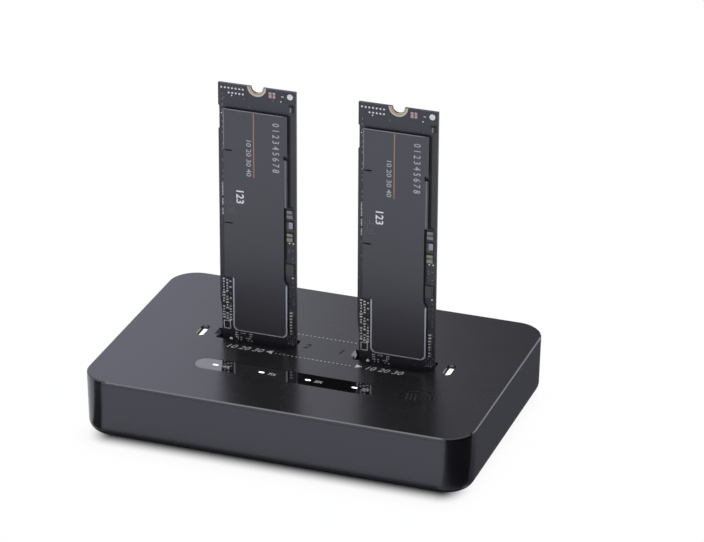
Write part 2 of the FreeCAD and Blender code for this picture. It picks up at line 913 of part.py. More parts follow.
def drive_small_parts(x):
    """Capacitors, resistors and two small packages along the card's edges."""
    parts = []
    right = card_width - right_part_inset
    for i in range(right_part_count):
        parts.append(on_card(x, right, right_part_width, waist_top + small_gap
                             + i * right_part_pitch, right_part_length, small_height))
        parts.append(on_card(x, card_width - low_part_inset, low_part_width, low_part_top
                             + i * low_part_pitch, low_part_length, small_height))
    for column in range(tiny_column_count):
        middle = tiny_inset + tiny_width / 2 + column * tiny_column_pitch
        for i in range(tiny_count):
            top = tail_top + small_gap + i * tiny_pitch + column * tiny_column_step
            parts.append(on_card(x, middle, tiny_width, top, tiny_length, small_height))
    parts.append(on_card(x, right, regulator_width, regulator_top, regulator_length,
                         package_height))
    middle = tiny_inset + corner_chip_width / 2
    parts.append(on_card(x, middle, corner_chip_width, corner_chip_top, corner_chip_length,
                         package_height))
    return parts


# ---------------------------------------------------------------- all nodes
def build():
    """Write every node."""
    os.makedirs("parts", exist_ok=True)
    write("lower_housing", [lower_housing()])
    write("top_cover", [top_cover()])
    write("rubber_feet", rubber_feet())
    write("housing_screws", housing_screws())
    write("main_board", [main_board()])
    for side, x in bays.items():
        write(side + "_card_socket", [card_socket(x)])
        write(side + "_socket_contacts", socket_contacts(x))
        write(side + "_activity_light_guide", [activity_light_guide(side)])
        write(side + "_drive_board", [drive_board(x)])
        write(side + "_drive_memory_chips", drive_memory_chips(x))
        write(side + "_drive_controller_chip", [drive_controller_chip(x)])
        write(side + "_drive_label", [drive_label(x)])
        write(side + "_drive_small_parts", drive_small_parts(x))
    write("progress_window", [progress_window()])
    write("progress_light_guide", [progress_light_guide()])
    write("progress_lamps", [lamp(x, y, led_length, led_width) for x, y in progress_places])
    write("activity_lamps", [lamp(x, bay_y, led_width, led_length) for x in activity_x.values()])
    write("clone_button", [clone_button()])
    write("clone_switch", [clone_switch()])
    write("clone_switch_plunger", [clone_switch_plunger()])
    write("power_button", [power_button()])
    write("power_switch", [power_switch()])
    write("power_switch_plunger", [power_switch_plunger()])
    write("usb_port_shell", [usb_port_shell()])
    write("usb_port_tongue", [usb_port_tongue()])
    write("power_jack_body", [power_jack_body()])
    write("power_jack_pin", [power_jack_pin()])
    write("bulk_capacitors", bulk_capacitors())
    for node, solids in board_chips().items():
        write(node, solids)


build()
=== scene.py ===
import json
import math
import random

import bmesh
import bpy
from mathutils import Matrix, Vector


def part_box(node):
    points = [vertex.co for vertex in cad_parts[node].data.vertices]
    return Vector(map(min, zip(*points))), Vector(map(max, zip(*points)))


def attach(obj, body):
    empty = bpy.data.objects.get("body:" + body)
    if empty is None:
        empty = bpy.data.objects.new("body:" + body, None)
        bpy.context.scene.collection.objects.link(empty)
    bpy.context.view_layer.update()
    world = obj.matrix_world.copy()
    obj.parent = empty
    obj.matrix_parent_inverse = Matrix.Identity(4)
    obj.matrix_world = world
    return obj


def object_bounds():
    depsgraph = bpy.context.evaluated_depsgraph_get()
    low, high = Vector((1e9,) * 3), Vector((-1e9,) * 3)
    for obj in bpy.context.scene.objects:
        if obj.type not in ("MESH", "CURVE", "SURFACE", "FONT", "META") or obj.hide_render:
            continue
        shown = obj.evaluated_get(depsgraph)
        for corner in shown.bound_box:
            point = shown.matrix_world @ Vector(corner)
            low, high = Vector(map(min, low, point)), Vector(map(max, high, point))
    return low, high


bl_info = {
    "name": "Card copying dock",
    "version": (1, 0, 0),
    "blender": (4, 5, 0),
    "location": "View3D > Sidebar > Card dock",
    "description": "Finishes, print, card details and studio of a two-bay card copying dock",
    "category": "Object",
}

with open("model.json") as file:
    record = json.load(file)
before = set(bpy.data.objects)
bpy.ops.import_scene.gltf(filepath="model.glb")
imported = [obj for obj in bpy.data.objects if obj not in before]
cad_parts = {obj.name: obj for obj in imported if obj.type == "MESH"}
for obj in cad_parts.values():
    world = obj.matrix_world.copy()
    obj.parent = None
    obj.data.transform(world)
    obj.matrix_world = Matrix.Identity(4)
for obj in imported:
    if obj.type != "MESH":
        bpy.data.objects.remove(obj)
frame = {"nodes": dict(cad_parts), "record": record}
CAD_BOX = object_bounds()
MM = 0.001
SIDES = ("left", "right")
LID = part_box("top_cover")[1].z
WINDOW_LOW, WINDOW_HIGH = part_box("progress_window")
LAMP_LOW, LAMP_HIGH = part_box("progress_lamps")
LAMP_INSET = 0.8 * MM  # from the lamps' ends to the outer lights' middles
BUTTON_LOW, BUTTON_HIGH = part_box("clone_button")
BUTTON = (BUTTON_LOW + BUTTON_HIGH) / 2
NOTCH = 11.0 * MM  # the holding notch's middle, from a card's left edge
KEYS = (-5.625 * MM, 6.125 * MM)  # the key notches, from the middle of a card's tongue
KEY_ROOM = 0.95 * MM  # how far the fingers keep from a key notch's middle
FINGER_FOOT = 0.25 * MM  # from the tongue's end to the fingers
PART_RISE = 0.47  # how far small parts stand off a card, in millimetres
PAD_RISE = 0.03  # the same for small pads
CAPITALS = 0.7  # a capital's height as a share of the font's size
MOULD_GRAIN = 2600.0  # features per metre
WHITE = (1.0, 1.0, 1.0)
WALL_GLOSS = (0.88, 0.86, 1.0)
LAMP_WIDTH = math.radians(24)
LAMP_WAY = Vector((0.02, 0.25, 1.0))
CAMERA_AIM = Vector((-22.355, 91.86, -2.1)) * MM
CAMERA_REACH = 1057.34 * MM


def length(name, description, default):
    """A length property, given in millimetres and kept in metres."""
    return bpy.props.FloatProperty(name=name, description=description, default=default * MM,
                                   unit="LENGTH", subtype="DISTANCE", precision=5)


def colour(name, description, default):
    """A colour property."""
    return bpy.props.FloatVectorProperty(name=name, description=description, default=default,
                                         subtype="COLOR", size=3, min=0.0, max=1.0)


def angle(name, description, default):
    """An angle property, given in degrees and kept in radians."""
    return bpy.props.FloatProperty(name=name, description=description, subtype="ANGLE",
                                   default=math.radians(default))


# Sizes and colours
class DockPrint(bpy.types.PropertyGroup):
    """Printing and light marks on the lid."""
    light_length: length("Light length", "Length of one progress light", 1.6)
    light_width: length("Light width", "Width of one progress light", 0.78)
    number_height: length("Number height", "Height of the progress numbers", 1.25)
    number_width: length("Number width", "Width of a progress number", 2.3)
    number_gap: length("Number gap", "From a light's middle to its number", 1.85)
    print_thickness: length("Print thickness", "Thickness of the printing", 0.015)
    guide_front: length("Front guide line", "Where the front dotted line runs", -4.9)
    guide_back: length("Back guide line", "Where the back dotted line runs", 8.5)
    dot_pitch: length("Dot pitch", "Spacing of the dotted lines", 1.18)
    dot_length: length("Dot length", "Length of one dot", 0.55)
    dot_width: length("Dot width", "Width of the dotted lines", 0.3)
    arrow_length: length("Arrow length", "Length of a guide arrow", 1.9)
    arrow_width: length("Arrow width", "Width of a guide arrow", 2.0)
    bay_words_height: length("Bay words height", "Height of the slanted numbers", 2.0)
    bay_words_width: length("Bay words width", "Width of the slanted numbers", 11.1)
    bay_number_height: length("Bay number height", "Height of the bay numbers", 2.7)
    icon_height: length("Icon height", "Height of the clone mark", 3.6)
    icon_pitch: length("Icon pitch", "Spacing of the strokes", 1.15)
    icon_stroke: length("Icon stroke", "Width of one stroke", 0.34)


class CardDetail(bpy.types.PropertyGroup):
    """Plating and printing on the cards."""
    ring_width: length("Ring width", "Width of the plated ring", 0.93)
    notch_radius: length("Notch radius", "Radius of the holding notch", 1.75)
    finger_width: length("Finger width", "Width of one plated finger", 0.35)
    finger_length: length("Finger length", "Length of one plated finger", 2.5)
    finger_pitch: length("Finger pitch", "Spacing of the plated fingers", 0.5)
    plating: length("Plating thickness", "Thickness of the plating", 0.03)
    dot_radius: length("Dot radius", "Radius of a plated hole", 0.28)
    rim_width: length("Rim width", "Width of the label's bright rim", 0.42)
    stripe_width: length("Stripe width", "Width of the copper stripe", 0.3)


class DockColours(bpy.types.PropertyGroup):
    """Colours of the plastics, the cards and the lights."""
    lid: colour("Lid", "Plastic of the lid", (0.006, 0.006, 0.007))
    wall: colour("Walls", "Plastic of the lower housing", (0.006, 0.006, 0.008))
    strip: colour("Strip", "Smoked strip over the lights", (0.004, 0.004, 0.005))
    light: colour("Lights", "Lit parts of the guides", (1.0, 1.0, 1.0))
    printing: colour("Printing", "White printing on the lid", (0.62, 0.63, 0.66))
    dim_print: colour("Dim printing", "Dark printing on the lid", (0.014, 0.014, 0.016))
    # The button mark's tone also paints the highlight arc along the button's edge.
    mark: colour("Button mark", "Faint printing on the button", (0.015, 0.015, 0.0165))
    board: colour("Card board", "Solder mask of the cards", (0.043, 0.043, 0.060))
    label: colour("Card label", "Label sheet of the cards", (0.062, 0.061, 0.078))
    label_print: colour("Label printing", "Silver numbers on the labels", (0.80, 0.81, 0.86))
    gold: colour("Gold plating", "Plating of the fingers", (0.80, 0.66, 0.42))
    ring: colour("Ring plating", "Plating round the notch", (0.56, 0.50, 0.38))
    bare: colour("Bare pads", "Bare copper pads", (0.46, 0.33, 0.35))
    silver: colour("Solder", "Tinned pads and small part ends", (0.66, 0.66, 0.70))
    copper: colour("Copper stripe", "Thin stripe on the labels", (0.40, 0.235, 0.165))
    main_board: colour("Main board", "Solder mask of the main board", (0.02, 0.12, 0.06))


class StudioSettings(bpy.types.PropertyGroup):
    """Camera and light."""
    azimuth: angle("Azimuth", "Camera's turn to the right", 19.452)
    elevation: angle("Elevation", "Camera's height angle", 25.094)
    roll: angle("Roll", "Camera's tilt", 0.28)
    lens: bpy.props.FloatProperty(name="Lens", description="Focal length on a 36 mm wide sensor",
                                  default=182.06, min=10.0, unit="CAMERA")
    sun: bpy.props.FloatProperty(name="Key strength", description="Overhead light's irradiance",
                                 default=2.55, min=0.0)
    fill: bpy.props.FloatProperty(name="Fill", description="Surroundings as matt surfaces see them",
                                  default=0.29, min=0.0, max=1.0, subtype="FACTOR")


# Shader maths
class Value:
    """A number that varies over a surface; arithmetic on it adds Math nodes."""

    def __init__(self, graph, socket):
        self.graph = graph
        self.socket = socket

    def math(self, operation, *others):
        sockets = dict(enumerate((self, *others)))
        return self.graph.value("ShaderNodeMath", {"operation": operation}, sockets)

    def __add__(self, other):
        return self.math("ADD", other)

    def __sub__(self, other):
        return self.math("SUBTRACT", other)

    def __rsub__(self, other):
        return self.graph.value("ShaderNodeMath", {"operation": "SUBTRACT"}, {0: other, 1: self})

    def __mul__(self, other):
        return self.math("MULTIPLY", other)

    __radd__ = __add__
    __rmul__ = __mul__

    def above(self, edge):
        return self.math("GREATER_THAN", edge)

    def below(self, edge):
        return self.math("LESS_THAN", edge)

    def distance_to(self, middle):
        return (self - middle).math("ABSOLUTE")


class Graph:
    """The node tree of one material or world."""

    def __init__(self, name, kind="Material"):
        self.owner = getattr(bpy.data, kind.lower() + "s").new(name)
        self.owner.use_nodes = True
        self.kind = kind
        self.tree = self.owner.node_tree
        self.tree.nodes.clear()
        self.place = self.node("ShaderNodeTexCoord").outputs["Object"]

    def node(self, kind, settings=None, sockets=None):
        """Makes a node: its settings first, then its sockets' values or links."""
        made = self.tree.nodes.new(kind)
        for name, setting in (settings or {}).items():
            if name == "stops":
                self.set_stops(made.color_ramp, setting)
            else:
                setattr(made, name, setting)
        for name, given in (sockets or {}).items():
            if isinstance(given, Value):
                given = given.socket
            if isinstance(given, bpy.types.NodeSocket):
                self.tree.links.new(given, made.inputs[name])
            else:
                made.inputs[name].default_value = given
        return made

    def value(self, kind, settings=None, sockets=None, output=0):
        """One output of a new node, for use in an expression."""
        return Value(self, self.node(kind, settings, sockets).outputs[output])

    def set_stops(self, ramp, stops):
        """Puts (position, colour) stops on a colour ramp."""
        while len(ramp.elements) < len(stops):
            ramp.elements.new(1.0)
        for element, (position, tone) in zip(ramp.elements, stops):
            element.position = position
            element.color = (*tone, 1.0)

    def noise(self, scale, detail=2.0, roughness=0.5):
        """Noise of about scale features per metre."""
        return self.value("ShaderNodeTexNoise", None, {
            "Vector": self.place, "Scale": scale, "Detail": detail, "Roughness": roughness})

    def axes(self):
        """The three object coordinates as values."""
        parts = self.node("ShaderNodeSeparateXYZ", None, {"Vector": self.place})
        return [Value(self, out) for out in parts.outputs]

    def ramp(self, given, start, end):
        """0 at start and 1 at end, smooth between them."""
        return self.value("ShaderNodeMapRange", {"interpolation_type": "SMOOTHSTEP"}, {
            "Value": given, "From Min": start, "From Max": end})

    def mix(self, mask, first, second):
        """A colour between two others."""
        first, second = (tone if isinstance(tone, bpy.types.NodeSocket) else (*tone[:3], 1.0)
                         for tone in (first, second))
        return self.node("ShaderNodeMix", {"data_type": "RGBA"},
                         {"Factor": mask, 6: first, 7: second}).outputs[2]

    def bump(self, height, strength, distance):
        """A normal from a height."""
        return self.node("ShaderNodeBump", None, {
            "Strength": strength, "Distance": distance, "Height": height}).outputs["Normal"]

    def surface(self, **sockets):
        """One surface shader."""
        names = {key.replace("_", " ").title().replace("Ior", "IOR"): given
                 for key, given in sockets.items()}
        return self.node("ShaderNodeBsdfPrincipled", None, names).outputs[0]

    def blend(self, factor, first, second):
        """A shader between two others."""
        return self.node("ShaderNodeMixShader", None, {0: factor, 1: first, 2: second}).outputs[0]

    def close(self, shader):
        """Closes the tree with a shader."""
        self.node("ShaderNodeOutput" + self.kind, None, {"Surface": shader})
        return self.owner

    def finish(self, **sockets):
        """Closes the tree with one surface shader."""
        return self.close(self.surface(**sockets))


def tinted(tone, gain):
    """A colour made lighter or darker."""
    return tuple(min(1.0, part * gain) for part in tone[:3])


def moulded_surface(graph, tone, roughness, grain, grain_depth, gloss_level=0.5,
                    gloss_tone=WHITE):
    """Moulded plastic: fine spark-eroded grain, slight changes of tone and gloss."""
    fine = graph.noise(grain, 3.0)
    broad = graph.noise(90.0)
    base = graph.mix(broad, tinted(tone, 0.85), tinted(tone, 1.15))
    return graph.surface(base_color=base, roughness=roughness - 0.025 + broad * 0.03 + fine * 0.02,
                         specular_ior_level=gloss_level, specular_tint=(*gloss_tone, 1.0),
                         normal=graph.bump(fine, 0.25, grain_depth * MM))


def moulded(name, *look):
    """A piece of moulded plastic with one finish."""
    graph = Graph(name)
    return graph.close(moulded_surface(graph, *look))


def lid_plastic(tones):
    """The lid: a satin top face, and edges and openings as smooth as the walls."""
    graph = Graph("lid_plastic")
    top = moulded_surface(graph, tones.lid, 0.27, MOULD_GRAIN, 0.015)
    edge = moulded_surface(graph, tones.wall, 0.15, MOULD_GRAIN, 0.015, 0.85, WALL_GLOSS)
    lower = graph.axes()[2].below(LID - 0.02 * MM)
    return graph.close(graph.blend(lower, top, edge))


def wall_plastic(tones):
    """The tub: smooth walls, and painted shade along the foot: a duller, darker round there."""
    graph = Graph("wall_plastic")
    # Painted shade: the foot's round gets a far darker, duller finish where the wall meets the
    # table.
    foot = moulded_surface(graph, tinted(tones.wall, 0.15), 0.6, MOULD_GRAIN, 0.02, 0.1)
    wall = moulded_surface(graph, tones.wall, 0.22, MOULD_GRAIN, 0.02, 0.85, WALL_GLOSS)
    above_foot_shade = graph.ramp(graph.axes()[2], 1.3 * MM, 3.1 * MM)
    return graph.close(graph.blend(above_foot_shade, foot, wall))


def smoked_strip(tone):
    """Polished smoked plastic with a hard clear face."""
    graph = Graph("smoked_strip")
    broad = graph.noise(160.0)
    base = graph.mix(broad, tinted(tone, 0.7), tinted(tone, 1.3))
    return graph.finish(base_color=base, roughness=0.02 + broad * 0.025, coat_weight=1.0,
                        coat_roughness=0.02)


def lit(name, tone, strength, hollow=0.0):
    """Clear plastic lit from behind, not quite evenly."""
    graph = Graph(name)
    broad = graph.noise(900.0, 1.0)
    glow = graph.mix(broad * hollow, tone, tinted(tone, 0.7))
    return graph.finish(base_color=(*tone, 1.0), roughness=0.35 + broad * 0.1,
                        emission_color=glow, emission_strength=strength)


def lit_window(name, tone, low, high):
    """A clear guide whose front part glows; its back end and sides stay dark as painted shade of
    the recess, and its left edge has a lighter base as a painted highlight.
    """
    graph = Graph(name)
    x, y = graph.axes()[:2]
    # The dark back end and sides are painted shade of the recess round the guide.
    along = graph.ramp(y, high.y - 1.0 * MM, high.y - 1.5 * MM)
    across = graph.ramp(x, low.x + 0.9 * MM, low.x + 1.3 * MM)
    beside = graph.ramp(x, high.x, high.x - 0.4 * MM)
    glow = along * across * beside
    # A lighter base along the left edge is a painted highlight.
    edge = graph.ramp(x, low.x + 1.0 * MM, low.x + 0.4 * MM) * along
    base = graph.mix(glow + edge * 0.25, (0.02, 0.02, 0.022), (0.8, 0.8, 0.8))
    return graph.finish(base_color=base, roughness=0.3 + glow * 0.1,
                        emission_color=graph.mix(glow, (0.0, 0.0, 0.0), tone),
                        emission_strength=1.0)


def brushed(name, tone, roughness, metallic=1.0, lines=3500.0):
    """Metal with fine drawn lines along its length."""
    graph = Graph(name)
    stretched = graph.node("ShaderNodeMapping", None, {
        "Vector": graph.place, "Scale": (1.0, 0.06, 1.0)}).outputs[0]
    grain = graph.value("ShaderNodeTexNoise", None, {
        "Vector": stretched, "Scale": lines, "Detail": 3.0})
    base = graph.mix(grain, tinted(tone, 0.8), tinted(tone, 1.1))
    return graph.finish(base_color=base, metallic=metallic, roughness=roughness + grain * 0.15,
                        normal=graph.bump(grain, 0.15, 0.01 * MM))


def circuit_board(name, tone, copper_tone, pitch):
    """Solder mask over tracks: fine runs that show as faint lighter lines, and small vias."""
    graph = Graph(name)
    x, y, z = graph.axes()
    broad = graph.noise(220.0)
    bend = graph.noise(420.0, 0.0) * 0.9 * MM
    track_x, track_z = (((run + bend) * (1 / pitch)).math("FRACT").below(0.3)
                        for run in (x, z + y))
    across = graph.noise(260.0, 0.0).above(0.55)
    along = graph.noise(330.0, 0.0).below(0.42)
    tracks = track_x * across * (1 - along) + track_z * along
    spots = graph.value("ShaderNodeTexVoronoi", None,
                        {"Vector": graph.place, "Scale": 520.0}, "Distance")
    vias = spots.below(0.13) * broad.above(0.5)
    base = graph.mix(tracks * 0.5, tinted(tone, 0.95), tinted(tone, 1.35))
    base = graph.mix(vias * 0.12, base, copper_tone)
    return graph.finish(base_color=base, roughness=0.34 + broad * 0.08 - tracks * 0.05,
                        normal=graph.bump(tracks, 0.4, 0.02 * MM))


def label_sheet(tone):
    """Satin foil label with very fine grain."""
    graph = Graph("label_sheet")
    fine = graph.noise(5200.0)
    broad = graph.noise(70.0)
    base = graph.mix(broad, tinted(tone, 0.93), tinted(tone, 1.07))
    return graph.finish(base_color=base, roughness=0.30 + fine * 0.06 + broad * 0.03,
                        specular_ior_level=0.64, specular_tint=(0.96, 0.96, 1.0, 1.0),
                        normal=graph.bump(fine, 0.12, 0.004 * MM))


def tinned_parts(name, dark, pale):
    """Small ceramic parts, whose bodies differ in tone from part to part."""
    graph = Graph(name)
    x, y, z = graph.axes()
    cell = graph.node("ShaderNodeCombineXYZ", None, {
        "X": (x * (1 / (1.5 * MM))).math("FLOOR"),
        "Z": (z * (1 / (2.6 * MM))).math("FLOOR")}).outputs[0]
    pick = graph.value("ShaderNodeTexWhiteNoise", None, {"Vector": cell})
    bodies = graph.mix(pick * 0.7 + graph.noise(3200.0) * 0.3, dark, pale)
    return graph.finish(base_color=bodies, roughness=0.3 + pick * 0.2)


def packaged(name, tone, roughness=0.4):
    """Matt moulded package with a faint sparkle of filler."""
    graph = Graph(name)
    fine = graph.noise(3800.0, 4.0, 0.7)
    base = graph.mix(fine, tinted(tone, 0.7), tinted(tone, 1.5))
    return graph.finish(base_color=base, roughness=roughness + fine * 0.15,
                        normal=graph.bump(fine, 0.3, 0.01 * MM))


def printed(name, tone, roughness=0.5, gloss_level=0.5):
    """Screen printing with slightly uneven ink."""
    graph = Graph(name)
    ink = graph.noise(2600.0)
    base = graph.mix(ink, tinted(tone, 0.82), tinted(tone, 1.12))
    return graph.finish(base_color=base, roughness=roughness + ink * 0.1,
                        specular_ior_level=gloss_level, normal=graph.bump(ink, 0.1, 0.004 * MM))


# Mesh helpers
def new_object(name, form, material):
    """Turns a bmesh into an object with one material."""
    mesh = bpy.data.meshes.new(name)
    form.to_mesh(mesh)
    form.free()
    mesh.materials.append(material)
    made = bpy.data.objects.new(name, mesh)
    bpy.context.scene.collection.objects.link(made)
    return made


def piece(name, form, material, body):
    """Turns a bmesh into a piece that moves with a body."""
    bmesh.ops.recalc_face_normals(form, faces=form.faces)
    made = new_object(name, form, material)
    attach(made, body)


def card_pieces(side, rows):
    """Pieces on one card, from rows of name, bmesh, material and slot."""
    for name, form, material, slot in rows:
        piece(side + "_" + name, form, material, side + "_card")


def add_disc(form, plane, radius, thickness, sides=12):
    """A flat round disc standing off a plane."""
    made = bmesh.ops.create_cone(form, cap_ends=True, cap_tris=False, segments=sides,
                                 radius1=radius, radius2=radius * 0.94, depth=thickness,
                                 matrix=plane @ Matrix.Translation((0, 0, thickness / 2)))
    return made["verts"]


def outward(plane):
    """The way that a plane faces."""
    return (plane.to_3x3() @ Vector((0, 0, 1))).normalized()


def thicken(form, faces, way):
    """Gives faces a thickness along a vector."""
    grown = bmesh.ops.extrude_face_region(form, geom=faces, use_keep_orig=True)
    moved = [part for part in grown["geom"] if isinstance(part, bmesh.types.BMVert)]
    bmesh.ops.translate(form, verts=moved, vec=way)


def add_outline(form, points, plane, thickness):
    """A flat shape from its corner points on a plane, given a thickness."""
    corners = [form.verts.new(plane @ Vector((*point, 0.0))) for point in points]
    thicken(form, [form.faces.new(corners)], outward(plane) * thickness)


def pill_points(size, width, sides=8):
    """Corner points of a level shape with half-round ends."""
    radius = width / 2
    reach = size / 2 - radius
    points = []
    for end in (1, -1):
        for step in range(sides + 1):
            turn = math.pi * (step / sides - 0.5)
            points.append((end * (reach + radius * math.cos(turn)), end * radius * math.sin(turn)))
    return points


def add_text(form, words, height, plane, thickness, width=0.0, slant=0.0, weight=0.0):
    """Lettering as a thin solid, from the left end of a plane."""
    curve = bpy.data.curves.new("lettering", "FONT")
    curve.body = words
    curve.size = height / CAPITALS
    curve.extrude = thickness / 2
    curve.shear = slant
    curve.offset = weight * height
    curve.align_y = "CENTER"
    curve.resolution_u = 3
    holder = bpy.data.objects.new("lettering", curve)
    bpy.context.scene.collection.objects.link(holder)
    bpy.context.view_layer.update()
    mesh = bpy.data.meshes.new_from_object(holder)
    span = max(corner[0] for corner in holder.bound_box)
    fit = width / span if width else 1.0
    mesh.transform(plane @ Matrix.Diagonal((fit, 1.0, 1.0, 1.0))
                   @ Matrix.Translation((0, 0, thickness / 2)))
    form.from_mesh(mesh)
    bpy.data.objects.remove(holder)
    bpy.data.curves.remove(curve)
    bpy.data.meshes.remove(mesh)


def on_lid(x, y, z=LID):
    """A plane lying on the lid."""
    return Matrix.Translation((x, y, z))


def on_card(side, across=0.0, down=0.0, back=False):
    """A plane on a card: across from its left edge and down from its top, facing outwards."""
    low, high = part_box(side + "_drive_board")
    return (Matrix.Translation((low.x + across, high.y if back else low.y, high.z - down))
            @ Matrix.Rotation(math.radians(180 if back else 0), 4, "Z")
            @ Matrix.Rotation(math.radians(90), 4, "X"))


def on_label(side):
    """The plane of a label's face, from its card's top left corner."""
    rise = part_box(side + "_drive_board")[0].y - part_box(side + "_drive_label")[0].y
    return on_card(side) @ Matrix.Translation((0, 0, rise))


def add_plate(form, plane, width, height, thickness):
    """A small flat rectangle on a plane."""
    points = [(x * width / 2, y * height / 2) for x, y in ((-1, -1), (1, -1), (1, 1), (-1, 1))]
    add_outline(form, points, plane, thickness)


def add_patch(form, plane, across, down, rise):
    """A raised rectangle on a card, between two distances across and two down, all in mm."""
    middle = plane @ Matrix.Translation((sum(across) / 2 * MM, -sum(down) / 2 * MM, 0))
    add_plate(form, middle, (across[1] - across[0]) * MM, (down[1] - down[0]) * MM, rise * MM)


def add_mark(form, plane, across, down, half_width, half_height, rise):
    """A raised rectangle about one place on a card, all in mm."""
    add_patch(form, plane, (across - half_width, across + half_width),
              (down - half_height, down + half_height), rise)


def patches(plane, rise, *spans):
    """Raised rectangles on a card, from pairs of distances across and down."""
    form = bmesh.new()
    for across, down in spans:
        add_patch(form, plane, across, down, rise)
    return form


def add_band(form, plane, inner, outer, rise, start=math.pi, sweep=math.pi):
    """Part of a flat ring round the middle of a plane, standing off it."""
    way = Vector((math.cos(start), math.sin(start), 0))
    corners = [form.verts.new(plane @ (way * reach)) for reach in (inner, outer)]
    edge = form.edges.new(corners)
    known = set(form.faces)
    bmesh.ops.spin(form, geom=[*corners, edge], cent=plane.translation, axis=outward(plane),
                   angle=sweep, steps=20)
    thicken(form, [face for face in form.faces if face not in known], outward(plane) * rise)


# Operators
class DOCK_OT_finishes(bpy.types.Operator):
    """Give every moulded, metal and printed-board part its finish"""
    bl_idname = "dock.finishes"
    bl_label = "Finishes"

    def execute(self, context):
        tones = context.scene.dock_colours
        finishes = {
            "housing_plastic": wall_plastic(tones),
            "cover_plastic": lid_plastic(tones),
            "smoked_gloss": smoked_strip(tones.strip),
            "clear_light": lit("lit_guide", tones.light, 1.0, 0.2),
            "lamp_white": lit("lamp_chip", tones.light, 0.8),
            "foot_rubber": moulded("foot_rubber", (0.02, 0.02, 0.02), 0.75, 1800.0, 0.05),
            "screw_steel": brushed("plated_screw", (0.55, 0.55, 0.57), 0.3, lines=2400.0),
            "board_green": circuit_board("main_board_mask", tones.main_board,
                                         (0.45, 0.36, 0.18), 0.9 * MM),
            "part_black": packaged("connector_plastic", (0.02, 0.02, 0.021), 0.42),
            "plunger_plastic": moulded("natural_nylon", (0.7, 0.7, 0.66), 0.4, 900.0, 0.02),
            "port_steel": brushed("nickel_shell", (0.62, 0.62, 0.63), 0.25, lines=3000.0),
            "contact_metal": brushed("gold_contact", tones.gold, 0.22, lines=4000.0),
            "capacitor_tan": packaged("capacitor_body", (0.5, 0.34, 0.12)),
            "coil_grey": packaged("ferrite", (0.16, 0.16, 0.17), 0.6),
            "chip_black": packaged("chip_package", (0.022, 0.022, 0.024), 0.45),
            "card_board": circuit_board("card_mask", tones.board, tones.silver[:], 0.7 * MM),
            "card_label": label_sheet(tones.label),
            "card_parts": tinned_parts("card_part_bodies", (0.022, 0.021, 0.022),
                                       (0.16, 0.155, 0.15)),
        }
        slots = {row["node"]: row["material_slot"] for row in frame["record"]["subparts"]}
        for node, made in frame["nodes"].items():
            for place in made.material_slots:
                place.material = finishes[slots[node]]
        for side in SIDES:
            node = side + "_activity_light_guide"
            glow = lit_window(side + "_lit_window", tones.light, *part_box(node))
            frame["nodes"][node].material_slots[0].material = glow
        return {"FINISHED"}


class DOCK_OT_progress_lights(bpy.types.Operator):
    """Show the four progress lights through the strip, each with its number"""
    bl_idname = "dock.progress_lights"
    bl_label = "Progress lights"

    def execute(self, context):
        sizes, tones = context.scene.dock_print, context.scene.dock_colours
        lights = bmesh.new()
        numbers = bmesh.new()
        y = (WINDOW_LOW.y + WINDOW_HIGH.y) / 2
        first = LAMP_LOW.x + LAMP_INSET
        last = LAMP_HIGH.x - LAMP_INSET
        for index, words in enumerate(("100%", "75%", "50%", "25%")):
            x = first + (last - first) * index / 3
            add_outline(lights, pill_points(sizes.light_length, sizes.light_width),
                        on_lid(x, y, WINDOW_HIGH.z), sizes.print_thickness)
            add_text(numbers, words, sizes.number_height,
                     on_lid(x + sizes.number_gap, y - 0.25 * MM, WINDOW_HIGH.z),
                     sizes.print_thickness, sizes.number_width, 0.2, -0.012)
        piece("progress_light_marks", lights, lit("lit_mark", tones.light, 1.0), "dock")
        piece("progress_numbers", numbers,
              printed("strip_number_ink", tinted(tones.printing, 1.25)), "dock")
        return {"FINISHED"}


class DOCK_OT_guide_lines(bpy.types.Operator):
    """Print the dotted guide lines with their arrows on the lid"""
    bl_idname = "dock.guide_lines"
    bl_label = "Guide lines"

    def execute(self, context):
        sizes, tones = context.scene.dock_print, context.scene.dock_colours
        dots = bmesh.new()
        arrows = bmesh.new()
        for start, end, y in ((-9.9 * MM, 12.4 * MM, sizes.guide_front),
                              (-20.0 * MM, 24.0 * MM, sizes.guide_back)):
            for index in range(int((end - start) / sizes.dot_pitch) + 1):
                add_plate(dots, on_lid(start + index * sizes.dot_pitch, y), sizes.dot_length,
                          sizes.dot_width, sizes.print_thickness)
        half = sizes.arrow_width / 2
        for x, way in ((-12.0 * MM, -1), (13.8 * MM, 1)):
            reach = way * sizes.arrow_length / 2
            add_outline(arrows, ((x + reach, 0), (x - reach, half), (x - reach, -half)),
                        on_lid(0, sizes.guide_front + 0.4 * MM), sizes.print_thickness)
        # The arrows' ink is made lighter than the printing colour: painted light against the cards'
        # shadow on the lid.
        for name, form, ink, gain in (("guide_lines", dots, "guide_ink", 0.6),
                                      ("guide_arrows", arrows, "arrow_ink_with_painted_light", 1.55)):
            piece(name, form, printed(ink, tinted(tones.printing, gain)), "dock")
        return {"FINISHED"}


